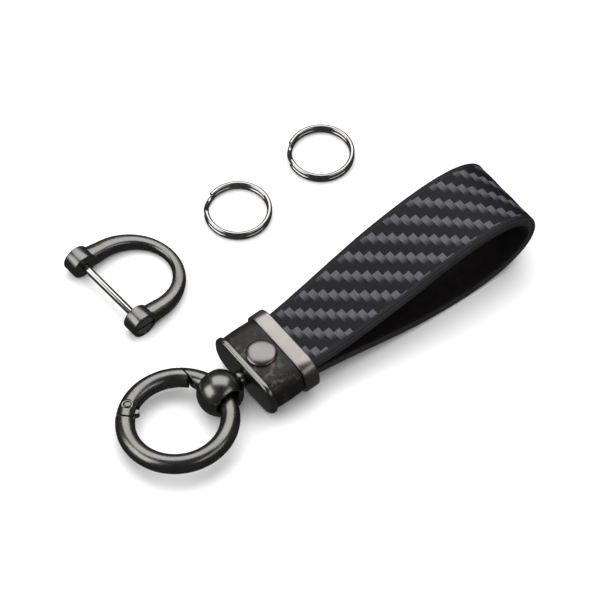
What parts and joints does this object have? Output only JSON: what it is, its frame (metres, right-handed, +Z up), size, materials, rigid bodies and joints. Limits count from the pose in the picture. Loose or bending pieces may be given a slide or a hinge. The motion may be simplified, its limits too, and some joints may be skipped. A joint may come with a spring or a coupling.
{
  "type": "key organiser",
  "caption": "Folded leather strap loop in a riveted metal clamp, with a swivel ball and a round spring-gate ring, beside a D-shackle with a screw pin and split rings",
  "frame": {"origin": "the middle of the underside of the whole set's box, on the surface it lies on", "axes": "+X along the strap from the spring ring to the fold, +Y across the strap towards the D-shackle and the split rings, +Z up"},
  "size_m": [0.137, 0.0836, 0.0247],
  "materials": {
    "embossed_leather": "black leather embossed with a twill weave, satin",
    "core_board": "bonded leather board, painted black at the edges",
    "lining_leather": "smooth black-brown leather, matte",
    "grained_leather": "black grained leather, semi-gloss",
    "gunmetal": "dark gunmetal plating, polished",
    "satin_metal": "gunmetal plating, satin",
    "steel": "dark nickel plating, polished"
  },
  "bodies": {
    "strap": {"strap_face_leather": "embossed_leather", "strap_core": "core_board", "strap_lining": "lining_leather", "end_cap": "gunmetal", "clamp_wrap": "grained_leather", "keeper_band": "satin_metal", "rivet_post": "satin_metal", "rivet_back_cap": "satin_metal"},
    "swivel": {"swivel_stem": "steel", "swivel_washer": "steel", "swivel_collar": "gunmetal", "swivel_bead": "gunmetal"},
    "spring_ring": {"ring_body": "gunmetal", "gate_hinge_pin": "steel"},
    "gate": {"ring_gate": "gunmetal", "gate_spring": "steel", "gate_plunger": "steel"},
    "shackle": {"shackle_body": "gunmetal"},
    "shackle_pin": {"shackle_screw_pin": "steel"},
    "split_ring_near": {"split_ring_1": "steel"},
    "split_ring_far": {"split_ring_2": "steel"}
  },
  "joints": [
    {"name": "swivel_turn", "type": "hinge", "parent": "strap", "child": "swivel", "pos_m": [-0.02782, -0.02412, 0.0073], "axis": [0.9982, 0, 0.0607], "continuous": true},
    {"name": "ring_tilt", "type": "hinge", "parent": "swivel", "child": "spring_ring", "pos_m": [-0.036, -0.02412, 0.0068], "axis": [0.0035, 0.9983, -0.0575], "range_deg": [-112, 109]},
    {"name": "gate_open", "type": "hinge", "parent": "spring_ring", "child": "gate", "pos_m": [-0.05943, -0.01201, 0.00528], "axis": [0.0348, -0.0575, -0.9977], "range_deg": [0, 26], "stiffness_Nm_per_rad": 0.01, "springref_deg": -68.75},
    {"name": "shackle_lift", "type": "slide", "parent": "strap", "child": "shackle", "axis": [0, 0, 1], "range_m": [0, 0.04]},
    {"name": "shackle_pin_turn", "type": "hinge", "parent": "shackle", "child": "shackle_pin", "pos_m": [-0.03918, 0.02513, 0.00415], "axis": [0.0576, -0.9983, 0], "continuous": true},
    {"name": "split_ring_near_lift", "type": "slide", "parent": "strap", "child": "split_ring_near", "axis": [0, 0, 1], "range_m": [0, 0.04]},
    {"name": "split_ring_far_lift", "type": "slide", "parent": "strap", "child": "split_ring_far", "axis": [0, 0, 1], "range_m": [0, 0.04]}
  ]
}
